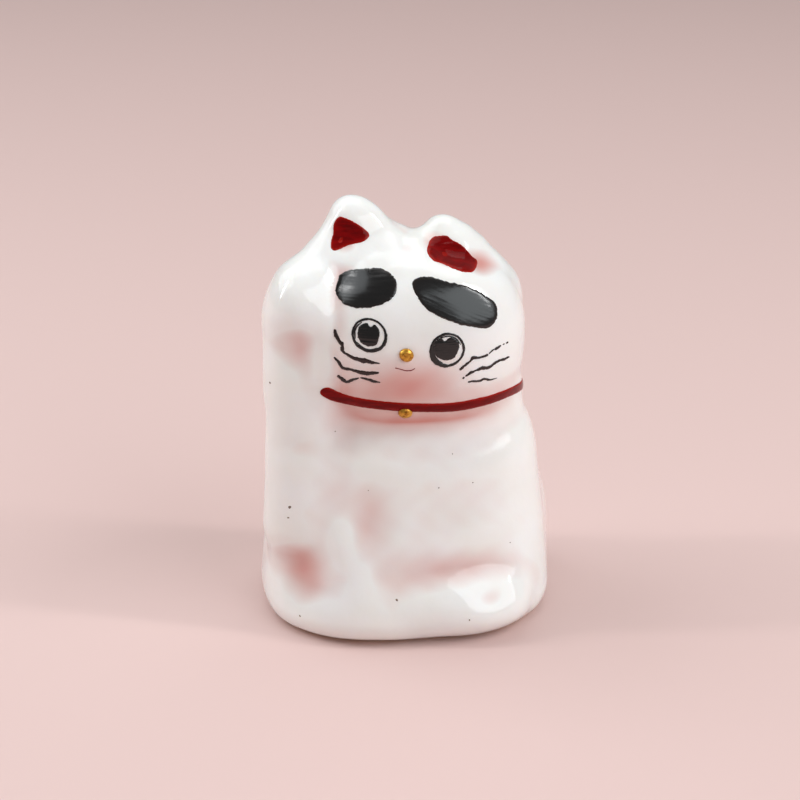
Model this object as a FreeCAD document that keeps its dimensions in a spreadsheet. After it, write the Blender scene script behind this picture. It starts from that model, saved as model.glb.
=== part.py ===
import FreeCAD, Part
import math
import os
import Sketcher
from FreeCAD import Placement, Rotation, Vector

# A hollow glazed pottery cat, seated, with its right paw raised beside its head.
# Millimetres, +Z up, the cat faces -Y, origin at the middle of the foot on the table.
# The clay is two press-moulded halves luted together along the sides and closed by a base slab.
# A glass glaze covers them, and the painted marks are thin raised layers of enamel on the glaze.

doc = FreeCAD.newDocument("beckoning_cat")
sheet = doc.addObject("Spreadsheet::Sheet", "dims")

DIMS = [
    # seated body: a rounded-square column that narrows upwards to the neck
    ("base_half_width", 26.2), ("neck_half_width", 22.3),
    ("base_half_depth", 21.2), ("neck_half_depth", 15.3),
    ("base_lean", -0.3), ("neck_lean", 0.7), ("flare_height", 39.0),
    ("chest_height", 41.0), ("foot_rounding", 3.0), ("foot_rounding_height", 4.6),
    # head
    ("head_left", 17.8), ("head_right", 20.5), ("head_half_depth", 16.8),
    ("head_centre_height", 52.1), ("head_half_height", 17.1),
    # ears
    ("right_ear_root_reach", -8.6), ("right_ear_root_height", 64.0), ("right_ear_root", 6.8),
    ("right_ear_reach", -10.2), ("right_ear_height", 73.8), ("right_ear_tip", 1.5),
    ("ridge_reach", -7.8), ("ridge_height", 71.6), ("ridge_radius", 3.6),
    ("crown_reach", -0.1), ("crown_height", 63.7), ("crown_radius", 3.6),
    ("slope_reach", -9.8), ("slope_height", 70.1), ("slope_radius", 4.2),
    ("left_ear_reach", 6.2), ("left_ear_height", 69.0), ("left_ear_tip", 2.8),
    ("left_ear_bend", 7.9), ("left_ear_bend_height", 65.1), ("left_ear_bend_radius", 5.6),
    ("left_ear_fall", 15.3), ("left_ear_fall_height", 58.6), ("left_ear_root", 4.5),
    # raised arm, paw, haunches and front feet
    ("arm_reach", -20.0), ("wrist_reach", -19.0), ("arm_radius", 6.2),
    ("paw_reach", -19.6), ("paw_height", 56.5), ("paw_half_width", 5.7),
    ("paw_half_height", 9.9), ("shoulder_reach", -16.7), ("shoulder_height", 61.5),
    ("haunch_half_depth", 12.0), ("right_haunch", -15.6), ("left_haunch", 18.2),
    ("right_foot", -7.1), ("left_foot", 8.2),
    ("tail_root_height", 7.0), ("tail_tip_height", 16.0), ("tail_radius", 3.6),
    # the masses are set out from the neck, which stands off the middle of the foot
    ("neck_across", -0.3), ("neck_back", 0.75),
    # layers
    ("wall", 2.65), ("slab_thickness", 3.2), ("glaze", 0.35), ("enamel", 0.15),
    ("wiped_edge", 1.0), ("side_seam", 1.5), ("overall_height", 80.0),
    ("vent_radius", 3.2), ("vent_reach", 6.0), ("vent_depth", 4.0),
    # eyes: a fine ring with a round pupil inside it
    ("eye_ring_radius", 2.95), ("eye_line", 0.45), ("pupil_radius", 1.9),
    ("right_eye_reach", -8.75), ("right_eye_height", 56.65),
    ("right_pupil_reach", -8.9), ("right_pupil_height", 56.75),
    ("left_eye_reach", 4.3), ("left_eye_height", 53.9),
    ("left_pupil_reach", 4.15), ("left_pupil_height", 54.15),
    # brow patches
    ("right_patch_reach", -8.7), ("right_patch_height", 63.7),
    ("right_patch_length", 5.0), ("right_patch_width", 2.6), ("right_patch_turn", 6.0),
    ("left_patch_reach", 6.0), ("left_patch_height", 61.3),
    ("left_patch_length", 7.6), ("left_patch_width", 3.0), ("left_patch_turn", -25.0),
    # whisker strokes and the mouth
    ("whisker_width", 0.5), ("mouth_width", 0.3),
    # rounding of the brush outlines
    ("ear_corner", 0.7), ("collar_end", 0.65),
    # gold beads: nose and bell
    ("bead_radius", 1.2), ("bead_rise", 0.9), ("bead_bed", 0.8),
    ("nose_reach", -2.7), ("nose_height", 53.4), ("nose_front", -17.0),
    ("bell_reach", -2.6), ("bell_height", 42.1), ("bell_front", -15.2),
]


def fill_sheet(rows):
    for row, (alias, value) in enumerate(rows, start=1):
        sheet.set(f"A{row}", alias)
        sheet.set(f"B{row}", str(value))
        sheet.setAlias(f"B{row}", alias)


def corner_cells(prefix, corners):
    """Sheet rows for the corners of a flat outline, as across and up from the middle of the foot."""
    rows = []
    for letter, (across, up) in zip("abcdefgh", corners):
        rows.append((f"{prefix}_across_{letter}", across))
        rows.append((f"{prefix}_up_{letter}", up))
    return rows


RIGHT_EAR = [(-12.4, 73.9), (-7.0, 70.8), (-14.2, 68.5)]
LEFT_EAR = [(2.2, 67.4), (3.4, 69.4), (6.6, 69.7), (8.6, 68.4), (11.4, 65.5), (9.4, 65.0)]
COLLAR = [(-16.6, 46.4), (-12.5, 45.1), (3.9, 43.9), (24.0, 43.9),
          (24.0, 42.0), (3.9, 41.9), (-12.5, 43.2), (-17.1, 44.6)]
MOUTH = [(-4.5, 51.1), (-2.5, 50.6), (-1.3, 50.9)]
WHISKERS = {
    "whisker_right_upper": [(-14.2, 56.8), (-12.8, 53.1), (-7.2, 51.9)],
    "whisker_right_middle": [(-14.4, 52.0), (-13.2, 50.4), (-7.4, 50.1)],
    "whisker_right_lower": [(-13.8, 48.7), (-12.4, 48.1), (-7.1, 48.6)],
    "whisker_left_upper": [(6.6, 50.3), (8.8, 51.9), (15.1, 53.5)],
    "whisker_left_middle": [(7.2, 48.6), (9.8, 49.8), (15.5, 50.8)],
    "whisker_left_lower": [(8.1, 47.7), (10.6, 47.8), (13.3, 47.4)],
}

rows = list(DIMS)
rows += corner_cells("right_ear_red", RIGHT_EAR)
rows += corner_cells("left_ear_red", LEFT_EAR)
rows += corner_cells("collar", COLLAR)
rows += corner_cells("mouth", MOUTH)
for stroke, corners in WHISKERS.items():
    rows += corner_cells(stroke, corners)
fill_sheet(rows)
doc.recompute()


def dim(alias):
    return float(sheet.get(alias))


# --- the modelled form -------------------------------------------------------------------
# The form is a set of rounded masses pressed together. Each mass gives the distance of a point
# from its skin, positive outside, and a soft minimum joins the masses with a fillet.

def soft_join(near, other, reach):
    mix = min(max(0.5 + 0.5 * (other - near) / reach, 0.0), 1.0)
    return other * (1 - mix) + near * mix - reach * mix * (1 - mix)


def soft_trim(near, other, reach):
    return -soft_join(-near, -other, reach)


def smooth_step(value):
    value = min(max(value, 0.0), 1.0)
    return value * value * (3 - 2 * value)


def oval_column(x, y, middle, half_width, half_depth, squareness):
    across = abs((x - middle) / half_width) + 1e-6
    deep = abs(y / half_depth) + 1e-6
    size = (across ** squareness + deep ** squareness) ** (1 / squareness)
    slope = size ** (1 - squareness) * math.hypot(
        across ** (squareness - 1) / half_width, deep ** (squareness - 1) / half_depth)
    return (size - 1) / slope


def egg(x, y, z, centre, radii):
    px, py, pz = [(value - mid) / radius for value, mid, radius in zip((x, y, z), centre, radii)]
    size = math.sqrt(px * px + py * py + pz * pz) + 1e-9
    slope = math.sqrt((px / radii[0]) ** 2 + (py / radii[1]) ** 2 + (pz / radii[2]) ** 2) + 1e-9
    return size * (size - 1) / slope


def squared_egg(x, y, z, centre, radii, squareness, roundness):
    px, py, pz = [abs((value - mid) / radius) + 1e-6
                  for value, mid, radius in zip((x, y, z), centre, radii)]
    belt = (px ** squareness + py ** squareness) ** (1 / squareness)
    size = (belt ** roundness + pz ** roundness) ** (1 / roundness)
    lift = size ** (1 - roundness) * belt ** (roundness - 1) * belt ** (1 - squareness)
    slope = math.sqrt((lift * px ** (squareness - 1) / radii[0]) ** 2
                      + (lift * py ** (squareness - 1) / radii[1]) ** 2
                      + (size ** (1 - roundness) * pz ** (roundness - 1) / radii[2]) ** 2)
    return (size - 1) / slope


def limb(x, y, z, start, end, start_radius, end_radius):
    dx, dy, dz = end[0] - start[0], end[1] - start[1], end[2] - start[2]
    run = dx * dx + dy * dy + dz * dz
    along = ((x - start[0]) * dx + (y - start[1]) * dy + (z - start[2]) * dz) / run
    along = min(max(along, 0.0), 1.0)
    gap = math.sqrt((x - start[0] - along * dx) ** 2 + (y - start[1] - along * dy) ** 2
                    + (z - start[2] - along * dz) ** 2)
    return gap - (start_radius + (end_radius - start_radius) * along)


D = {alias: dim(alias) for alias, _ in DIMS}
HEAD_MIDDLE = (D["head_right"] - D["head_left"]) / 2
HEAD_HALF_WIDTH = (D["head_right"] + D["head_left"]) / 2

# thumb marks and swells: centre, reach along each axis, and how far the skin is pushed in
MARKS = [
    ((-21.0, -13.0, 53.8), (3.8, 5.0, 4.2), 1.8),     # under the curled paw
    ((-15.6, -12.0, 60.0), (2.4, 4.0, 5.0), -0.8),    # web between the paw and the brow
    ((-15.9, -12.5, 50.5), (2.4, 4.0, 6.0), -0.8),    # web between the arm and the cheek
    ((-21.4, -13.0, 35.0), (4.5, 5.0, 2.2), 0.35),    # elbow
    ((-20.2, -13.8, 11.4), (5.2, 5.5, 5.2), 2.1),     # above the right foot
    ((-8.6, -17.0, 22.6), (4.2, 5.0, 6.8), 0.8),      # inside of the right foreleg
    ((-13.7, -17.0, 19.5), (2.4, 4.0, 4.0), -0.5),    # foreleg ridge, upper part
    ((-10.4, -19.0, 12.0), (3.0, 4.0, 4.0), -0.5),    # foreleg ridge, lower part
    ((4.5, -19.5, 13.9), (11.5, 5.0, 3.2), 0.7),      # crease over the feet
    ((12.2, -20.8, 8.0), (3.2, 4.0, 1.8), 0.6),       # thumb mark on the left foot
    ((-1.0, -16.0, 39.2), (12.5, 5.0, 2.2), 0.75),    # groove under the collar
    ((20.5, -4.0, 42.0), (4.0, 8.0, 4.0), -0.7),      # fullness of the left shoulder
]
EAR_MARKS = [
    ((-0.8, -1.8, 69.6), (2.6, 2.6, 1.8), -0.4),      # saddle between the ears
    ((-15.2, -9.0, 65.0), (2.4, 3.0, 3.0), -0.6),     # web up to the right ear
    ((-8.4, -7.2, 67.4), (4.5, 3.0, 2.4), -0.9),      # brow run up to the right ear
    ((-6.0, -5.8, 69.0), (3.4, 2.6, 2.0), -0.7),      # and to its inner rim
    ((-11.4, -5.2, 70.6), (2.3, 3.0, 2.4), 1.1),      # cup of the right ear
    ((6.5, -7.5, 67.4), (3.0, 4.0, 2.0), 1.4),        # cup of the left ear, inner end
    ((11.8, -8.0, 65.6), (3.2, 4.0, 1.9), 1.2),       # cup of the left ear, middle
    ((14.0, -6.0, 64.8), (2.6, 3.4, 1.8), 0.35),       # cup of the left ear, outer end
]


# the inner rims of the two ears, carried down on to the brow: points along each and their radii
EAR_RIMS = [
    (((-6.2, -1.2, 72.0), (-3.0, -4.2, 67.8), (-2.6, -9.8, 65.3)), (1.8, 1.8, 1.3)),
    (((3.0, -0.9, 68.4), (0.5, -4.6, 67.4), (0.8, -10.4, 65.0)), (1.4, 1.4, 1.2)),
]


def form(x, y, z, with_ears=True):
    """Distance of a point from the skin of the modelled clay, negative inside it."""
    x -= D["neck_across"]
    y -= D["neck_back"]
    rise = smooth_step(z / D["flare_height"])
    half_width = D["base_half_width"] + (D["neck_half_width"] - D["base_half_width"]) * rise
    half_depth = D["base_half_depth"] + (D["neck_half_depth"] - D["base_half_depth"]) * rise
    middle = D["base_lean"] + (D["neck_lean"] - D["base_lean"]) * rise
    skin = oval_column(x, y, middle, half_width, half_depth, 2.6)
    skin = soft_trim(skin, z - D["chest_height"], 12.0)
    head = squared_egg(x, y, z, (HEAD_MIDDLE, -1.0, D["head_centre_height"]),
                       (HEAD_HALF_WIDTH, D["head_half_depth"], D["head_half_height"]), 2.6, 2.3)
    skin = soft_join(skin, head, 6.5)
    marks = MARKS
    if with_ears:
        marks = MARKS + EAR_MARKS
        peak = limb(x, y, z, (D["right_ear_root_reach"], 0.5, D["right_ear_root_height"]),
                    (D["right_ear_reach"], 0.5, D["right_ear_height"]),
                    D["right_ear_root"], D["right_ear_tip"])
        skin = soft_join(skin, peak, 3.0)
        ridge = limb(x, y, z, (D["ridge_reach"], 0.5, D["ridge_height"]),
                     (D["crown_reach"], 0.5, D["crown_height"]), D["ridge_radius"], D["crown_radius"])
        skin = soft_join(skin, ridge, 4.2)
        slope = limb(x, y, z, (D["slope_reach"], -0.5, D["slope_height"]),
                     (D["shoulder_reach"], -3.0, D["shoulder_height"]), D["slope_radius"], 5.4)
        skin = soft_join(skin, slope, 3.0)
        tip = limb(x, y, z, (D["left_ear_reach"], 0.5, D["left_ear_height"]),
                   (D["left_ear_bend"], 0.2, D["left_ear_bend_height"]),
                   D["left_ear_tip"], D["left_ear_bend_radius"])
        skin = soft_join(skin, tip, 1.5)
        fall = limb(x, y, z, (D["left_ear_bend"], 0.2, D["left_ear_bend_height"]),
                    (D["left_ear_fall"], 0.0, D["left_ear_fall_height"]),
                    D["left_ear_bend_radius"], D["left_ear_root"])
        skin = soft_join(skin, fall, 3.0)
        for path, sizes in EAR_RIMS:
            for step in (0, 1):
                rim = limb(x, y, z, path[step], path[step + 1], sizes[step], sizes[step + 1])
                skin = soft_join(skin, rim, 2.0)
    arm = limb(x, y, z, (D["arm_reach"], -7.0, 19.0), (D["wrist_reach"], -6.0, 46.0),
               D["arm_radius"], D["arm_radius"])
    skin = soft_join(skin, arm, 5.0)
    paw = egg(x, y, z, (D["paw_reach"], -6.0, D["paw_height"]),
              (D["paw_half_width"], 7.6, D["paw_half_height"]))
    skin = soft_join(skin, paw, 3.5)
    wrist = limb(x, y, z, (D["wrist_reach"], -4.0, 44.0), (-18.8, -3.0, 56.0), 6.0, 6.0)
    skin = soft_join(skin, wrist, 3.0)
    right_haunch = egg(x, y, z, (D["right_haunch"], 6.5, 13.2), (7.9, D["haunch_half_depth"], 12.5))
    skin = soft_join(skin, right_haunch, 4.0)
    left_haunch = egg(x, y, z, (D["left_haunch"], 6.5, 12.0), (8.5, D["haunch_half_depth"], 14.7))
    skin = soft_join(skin, left_haunch, 4.0)
    right_foot = egg(x, y, z, (D["right_foot"], -13.8, 4.0), (11.0, 6.8, 5.5))
    skin = soft_join(skin, right_foot, 5.0)
    left_foot = egg(x, y, z, (D["left_foot"], -16.9, 5.5), (10.5, 6.0, 5.0))
    skin = soft_join(skin, left_foot, 5.0)
    tail = limb(x, y, z, (2.0, 17.6, D["tail_root_height"]), (6.0, 18.2, D["tail_tip_height"]),
                D["tail_radius"], D["tail_radius"] - 0.6)
    skin = soft_join(skin, tail, 3.0)
    for centre, reach, depth in marks:
        away = sum(((value - mid) / size) ** 2
                   for value, mid, size in zip((x, y, z), centre, reach))
        if away < 9.0:
            skin += depth * math.exp(-away)
    rim = min(max(z / D["foot_rounding_height"], 0.0), 1.0)
    skin += D["foot_rounding"] * (1 - math.sqrt(max(1 - (1 - rim) ** 2, 0.0)))
    # the masses are set out to the glazed skin, and the clay lies under the glaze
    return skin + D["glaze"]


# --- closed solids of the form -----------------------------------------------------------
AROUND = 64
RING_STEP = 2.0
CROWN_RINGS = 24
BELOW_TABLE = -2.0
CROWN_CENTRE = 52.0


def skin_radius(start, direction, level, with_ears):
    inner, outer = 1.0, 40.0
    for _ in range(17):
        radius = (inner + outer) / 2
        x = start.x + direction.x * radius
        y = start.y + direction.y * radius
        z = start.z + direction.z * radius
        if form(x, y, z, with_ears) < level:
            inner = radius
        else:
            outer = radius
    return (inner + outer) / 2


def ring(start, elevation, level, with_ears):
    points = []
    for step in range(AROUND):
        turn = math.pi / 2 + 2 * math.pi * step / AROUND
        direction = Vector(math.cos(elevation) * math.cos(turn),
                           math.cos(elevation) * math.sin(turn), math.sin(elevation))
        points.append(start + direction * skin_radius(start, direction, level, with_ears))
    return points


def form_solid(level, with_ears=True):
    """The form grown by level, closed by a flat cap below the table."""
    rows = []
    height = BELOW_TABLE
    while height < CROWN_CENTRE - 0.1:
        rows.append(ring(Vector(0, 0, height), 0.0, level, with_ears))
        height += RING_STEP
    crown = Vector(0, 0, CROWN_CENTRE)
    for step in range(CROWN_RINGS):
        rows.append(ring(crown, math.pi / 2 * step / CROWN_RINGS, level, with_ears))
    top = crown + Vector(0, 0, skin_radius(crown, Vector(0, 0, 1), level, with_ears))
    rows.append([top] * AROUND)
    poles = [[row[step] for row in rows] for step in range(AROUND)]
    count = len(rows)
    surface = Part.BSplineSurface()
    surface.buildFromPolesMultsKnots(
        poles, [1] * (AROUND + 1), [4] + [1] * (count - 4) + [4],
        list(range(AROUND + 1)), list(range(count - 2)), True, False, 3, 3)
    side = surface.toShape()
    rim = Part.Wire([surface.vIso(0).toShape()])
    shell = Part.Shell([side, Part.Face(rim)])
    shell.sewShape()
    solid = Part.Solid(shell)
    if solid.Volume < 0:
        solid.reverse()
    return solid


def form_feature(name, level, with_ears=True):
    feature = doc.addObject("Part::Feature", name)
    feature.Label = name
    feature.Shape = form_solid(level, with_ears)
    feature.Placement = Placement()
    return feature


clay_form = form_feature("form_clay", 0.0)
glaze_form = form_feature("form_glaze", D["glaze"])
enamel_form = form_feature("form_enamel", D["glaze"] + D["enamel"])
hollow_form = form_feature("form_hollow", -D["wall"], with_ears=False)


# --- helpers for the document's own features ---------------------------------------------

def bind(thing, **links):
    for name, expression in links.items():
        thing.setExpression(name.replace("__", "."), expression)


def block(name, base, size):
    """A box whose corner and sides are expressions."""
    box = doc.addObject("Part::Box", name)
    bind(box, Placement__Base__x=base[0], Placement__Base__y=base[1], Placement__Base__z=base[2],
         Length=size[0], Width=size[1], Height=size[2])
    return box


def combine(kind, name, base, tool):
    made = doc.addObject(kind, name)
    made.Base = base
    made.Tool = tool
    return made


def common(name, base, tool):
    return combine("Part::Common", name, base, tool)


def cut(name, base, tool):
    return combine("Part::Cut", name, base, tool)


# --- clay halves, base slab and glaze ----------------------------------------------------
WIDE = "120"
front_half = block("room_front", ("-60", "-60", "dims.slab_thickness"),
                   (WIDE, "60 + dims.side_seam", "dims.overall_height"))
back_half = block("room_back", ("-60", "dims.side_seam", "dims.slab_thickness"),
                  (WIDE, "60", "dims.overall_height"))
slab_room = block("room_slab", ("-60", "-60", "0"), (WIDE, WIDE, "dims.slab_thickness"))
glaze_room = block("room_glaze", ("-60", "-60", "dims.wiped_edge"),
                   (WIDE, WIDE, "dims.overall_height"))

clay_front = cut("clay_front_half", common("clay_front_full", clay_form, front_half), hollow_form)
clay_back = cut("clay_back_half", common("clay_back_full", clay_form, back_half), hollow_form)

vent = doc.addObject("Part::Cylinder", "vent_hole")
bind(vent, Radius="dims.vent_radius", Height="dims.vent_depth + 1",
     Placement__Base__y="dims.vent_reach", Placement__Base__z="-0.5")
base_slab = cut("base_slab", common("slab_full", clay_form, slab_room), vent)
glaze_coat = cut("glaze_coat", common("glaze_full", glaze_form, glaze_room), clay_form)

# --- painted enamel: flat outlines carried straight back through a thin outer layer -------
FRONT = "-40"
BACK = "38"
paint_room = block("room_paint", ("-30", FRONT, "40"), ("60", BACK, "50"))
paint_full = common("paint_full", enamel_form, paint_room)
paint_layer = cut("paint_layer", paint_full, glaze_form)


def facing_rotation():
    """Turns the XY plane of a flat outline upright, facing the cat's front."""
    return Rotation(Vector(1, 0, 0), 90)


def outline_prism(name, prefix, corners):
    """A closed straight-sided outline in a sketch, every corner placed from the sheet."""
    sketch = doc.addObject("Sketcher::SketchObject", f"{name}_outline")
    sketch.Placement = Placement(Vector(0, -40, 0), facing_rotation())
    count = len(corners)
    for index in range(count):
        start = Vector(*corners[index], 0)
        end = Vector(*corners[(index + 1) % count], 0)
        sketch.addGeometry(Part.LineSegment(start, end), False)
    for index in range(count):
        sketch.addConstraint(Sketcher.Constraint("Coincident", index, 2, (index + 1) % count, 1))
    for index, letter in zip(range(count), "abcdefgh"):
        for kind, word, value in (("DistanceX", "across", corners[index][0]),
                                  ("DistanceY", "up", corners[index][1])):
            number = sketch.addConstraint(Sketcher.Constraint(kind, -1, 1, index, 1, value))
            sketch.renameConstraint(number, f"{word}_{letter}")
            sketch.setExpression(f"Constraints.{word}_{letter}", f"dims.{prefix}_{word}_{letter}")
    prism = doc.addObject("Part::Extrusion", f"{name}_prism")
    prism.Base = sketch
    prism.DirMode = "Custom"
    prism.Dir = Vector(0, 1, 0)
    prism.LengthFwd = 38
    prism.Solid = True
    return prism


def rounded(prism, name, corner_cells_mm):
    """The prism with the given upright corners rounded. Corners are found by where they stand."""
    doc.recompute()
    made = doc.addObject("Part::Fillet", name)
    made.Base = prism
    edges = []
    for number, edge in enumerate(prism.Shape.Edges, start=1):
        start, end = edge.Vertexes[0].Point, edge.Vertexes[-1].Point
        if abs(start.y - end.y) < 1:
            continue
        for (across, up), radius in corner_cells_mm:
            if math.hypot(start.x - across, start.z - up) < 0.01:
                edges.append((number, radius, radius))
    made.Edges = edges
    return made


def round_prism(name, across, up, radius):
    """A round bar lying along Y."""
    bar = doc.addObject("Part::Cylinder", name)
    bar.Placement = Placement(Vector(0, -2, 0), facing_rotation())
    bind(bar, Radius=radius, Height="38", Placement__Base__x=across, Placement__Base__z=up)
    return bar


def oval_prism(name, prefix):
    """An oval bar lying along Y, turned in its own plane."""
    oval = doc.addObject("Part::Ellipse", f"{name}_oval")
    bind(oval, MajorRadius=f"dims.{prefix}_length", MinorRadius=f"dims.{prefix}_width")
    turn = Rotation(Vector(0, 0, 1), dim(f"{prefix}_turn"))
    oval.Placement = Placement(Vector(0, -40, 0), facing_rotation().multiply(turn))
    bind(oval, Placement__Base__x=f"dims.{prefix}_reach", Placement__Base__z=f"dims.{prefix}_height")
    prism = doc.addObject("Part::Extrusion", f"{name}_prism")
    prism.Base = oval
    prism.DirMode = "Custom"
    prism.Dir = Vector(0, 1, 0)
    prism.LengthFwd = 38
    prism.Solid = True
    return prism


def stroke_run(name, prefix, first, last, width):
    """One straight run of a brush stroke: a thin bar from one sheet point to the next."""
    run = doc.addObject("Part::Box", name)
    dx = f"(dims.{prefix}_across_{last} - dims.{prefix}_across_{first})"
    dz = f"(dims.{prefix}_up_{last} - dims.{prefix}_up_{first})"
    length = f"sqrt({dx} ^ 2 + {dz} ^ 2)"
    run.Placement = Placement(Vector(0, -40, 0), Rotation(Vector(0, -1, 0), 1))
    bind(run, Length=f"{length} + dims.{width} / 2", Width="38", Height=f"dims.{width}",
         Placement__Rotation__Angle=f"atan2({dz}; {dx})",
         Placement__Base__x=f"dims.{prefix}_across_{first} + dims.{width} / 2 * {dz} / {length}",
         Placement__Base__z=f"dims.{prefix}_up_{first} - dims.{width} / 2 * {dx} / {length}")
    return run


def stroke_prism(name, width):
    """A brush stroke bent once: two straight runs joined."""
    return combine("Part::Fuse", f"{name}_prism", stroke_run(f"{name}_root", name, "a", "b", width),
                   stroke_run(f"{name}_tip", name, "b", "c", width))


painted = {}
painted["ear_right_red"] = rounded(
    outline_prism("ear_right_red", "right_ear_red", RIGHT_EAR), "ear_right_red_rounded",
    [(corner, D["ear_corner"]) for corner in RIGHT_EAR])
painted["ear_left_red"] = rounded(
    outline_prism("ear_left_red", "left_ear_red", LEFT_EAR), "ear_left_red_rounded",
    [(corner, D["ear_corner"]) for corner in LEFT_EAR])
painted["collar_band"] = rounded(
    outline_prism("collar_band", "collar", COLLAR), "collar_band_rounded",
    [(COLLAR[0], D["collar_end"]), (COLLAR[-1], D["collar_end"])])
painted["brow_patch_right"] = oval_prism("brow_patch_right", "right_patch")
painted["brow_patch_left"] = oval_prism("brow_patch_left", "left_patch")
for side in ("right", "left"):
    across, up = f"dims.{side}_eye_reach", f"dims.{side}_eye_height"
    outer = round_prism(f"eye_{side}_outer", across, up, "dims.eye_ring_radius")
    inner = round_prism(f"eye_{side}_inner", across, up, "dims.eye_ring_radius - dims.eye_line")
    painted[f"eye_ring_{side}"] = cut(f"eye_{side}_tube", outer, inner)
    painted[f"pupil_{side}"] = round_prism(
        f"pupil_{side}_bar", f"dims.{side}_pupil_reach", f"dims.{side}_pupil_height",
        "dims.pupil_radius")
painted["mouth"] = stroke_prism("mouth", "mouth_width")
for stroke in WHISKERS:
    painted[stroke] = stroke_prism(stroke, "whisker_width")

enamels = {name: common(name, paint_layer, prism) for name, prism in painted.items()}


# --- gold beads: domes turned about their own axis, bedded on the layer beneath -----------

def bead_blank(name, across, up, front):
    """A lens of revolution, its axis along Y, whose domed side faces the front."""
    body = doc.addObject("PartDesign::Body", name)
    sketch = body.newObject("Sketcher::SketchObject", f"{name}_profile")
    plane = [item for item in body.Origin.OriginFeatures if item.Role == "XY_Plane"][0]
    sketch.AttachmentSupport = [(plane, "")]
    sketch.MapMode = "FlatFace"
    radius, rise, bed = D["bead_radius"], D["bead_rise"], D["bead_bed"]
    dome = [Vector(0, -rise, 0), Vector(radius * 0.72, -rise * 0.62, 0), Vector(radius, 0, 0)]
    sketch.addGeometry(Part.Arc(*dome), False)
    sketch.addGeometry(Part.LineSegment(dome[2], Vector(radius, bed, 0)), False)
    sketch.addGeometry(Part.LineSegment(Vector(radius, bed, 0), Vector(0, bed, 0)), False)
    sketch.addGeometry(Part.LineSegment(Vector(0, bed, 0), dome[0]), False)
    sketch.addConstraint(Sketcher.Constraint("Coincident", 0, 2, 1, 1))
    sketch.addConstraint(Sketcher.Constraint("Coincident", 1, 2, 2, 1))
    sketch.addConstraint(Sketcher.Constraint("Coincident", 2, 2, 3, 1))
    sketch.addConstraint(Sketcher.Constraint("Coincident", 3, 2, 0, 1))
    sketch.addConstraint(Sketcher.Constraint("Vertical", 1))
    sketch.addConstraint(Sketcher.Constraint("Horizontal", 2))
    sketch.addConstraint(Sketcher.Constraint("PointOnObject", 3, 1, -2))
    sketch.addConstraint(Sketcher.Constraint("PointOnObject", 3, 2, -2))
    for number, (kind, point, value, cell) in enumerate((
            ("DistanceX", (1, 1), radius, "bead_radius"), ("DistanceY", (1, 2), bed, "bead_bed"))):
        index = sketch.addConstraint(Sketcher.Constraint(kind, -1, 1, point[0], point[1], value))
        sketch.renameConstraint(index, cell)
        sketch.setExpression(f"Constraints.{cell}", f"dims.{cell}")
    turned = body.newObject("PartDesign::Revolution", f"{name}_turned")
    turned.Profile = sketch
    turned.ReferenceAxis = (sketch, ["V_Axis"])
    turned.Angle = 360
    body.Placement = Placement()
    bind(body, Placement__Base__x=across, Placement__Base__y=front, Placement__Base__z=up)
    return body


nose_blank = bead_blank("nose_blank", "dims.nose_reach", "dims.nose_height", "dims.nose_front")
bell_blank = bead_blank("bell_blank", "dims.bell_reach", "dims.bell_height", "dims.bell_front")
nose_bead = cut("nose_bead", nose_blank, glaze_form)
bell_bead = cut("bell_bead", bell_blank, enamel_form)

doc.recompute()

# --- check and write ---------------------------------------------------------------------
nodes = {"clay_front_half": clay_front, "clay_back_half": clay_back, "base_slab": base_slab,
         "glaze_coat": glaze_coat, "nose_bead": nose_bead, "bell_bead": bell_bead}
nodes.update(enamels)

for item in doc.Objects:
    if "Invalid" in item.State or "Error" in item.State:
        raise RuntimeError(f"{item.Name} failed: {item.State}")

os.makedirs("parts", exist_ok=True)
for name, item in nodes.items():
    item.Label = name
    shape = item.Shape
    if shape.isNull() or not shape.isValid() or not shape.Solids:
        raise RuntimeError(f"{name} has no valid solid")
    shape.exportStep(f"parts/{name}.step")
    box = shape.optimalBoundingBox(True, False)
    print(f"{name}: {len(shape.Solids)} solid, {shape.Volume:.1f} mm3, "
          f"x {box.XMin:.1f}..{box.XMax:.1f} y {box.YMin:.1f}..{box.YMax:.1f} "
          f"z {box.ZMin:.1f}..{box.ZMax:.1f}")
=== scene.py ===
import math

import bpy
import numpy as np
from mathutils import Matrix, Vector, noise


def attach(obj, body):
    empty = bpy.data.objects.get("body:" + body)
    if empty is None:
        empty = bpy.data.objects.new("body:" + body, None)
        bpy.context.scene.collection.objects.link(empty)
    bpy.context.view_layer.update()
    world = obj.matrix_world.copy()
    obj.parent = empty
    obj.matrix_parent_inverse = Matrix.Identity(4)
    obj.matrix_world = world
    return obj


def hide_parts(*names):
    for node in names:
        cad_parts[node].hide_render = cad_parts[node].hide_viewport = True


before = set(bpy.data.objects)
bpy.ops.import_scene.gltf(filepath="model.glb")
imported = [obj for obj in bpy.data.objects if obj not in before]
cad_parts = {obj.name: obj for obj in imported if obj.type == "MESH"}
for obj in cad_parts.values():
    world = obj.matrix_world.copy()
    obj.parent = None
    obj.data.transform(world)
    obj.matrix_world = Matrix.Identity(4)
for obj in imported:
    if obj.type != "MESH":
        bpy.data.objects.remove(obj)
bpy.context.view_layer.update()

# --- Clay body --------------------------------------------------------------------------
# The figure is earthenware, pressed by hand into a front mould and a back mould and luted
# together down the sides. Its form is a few soft rounded masses run into each other, so one
# formula, in millimetres, gives the clay's skin, and all that lies on the clay follows it.


def soft_join(near, other, reach):
    mix = np.clip(0.5 + 0.5 * (other - near) / reach, 0, 1)
    return other * (1 - mix) + near * mix - reach * mix * (1 - mix)


def soft_trim(near, other, reach):
    return -soft_join(-near, -other, reach)


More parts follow.
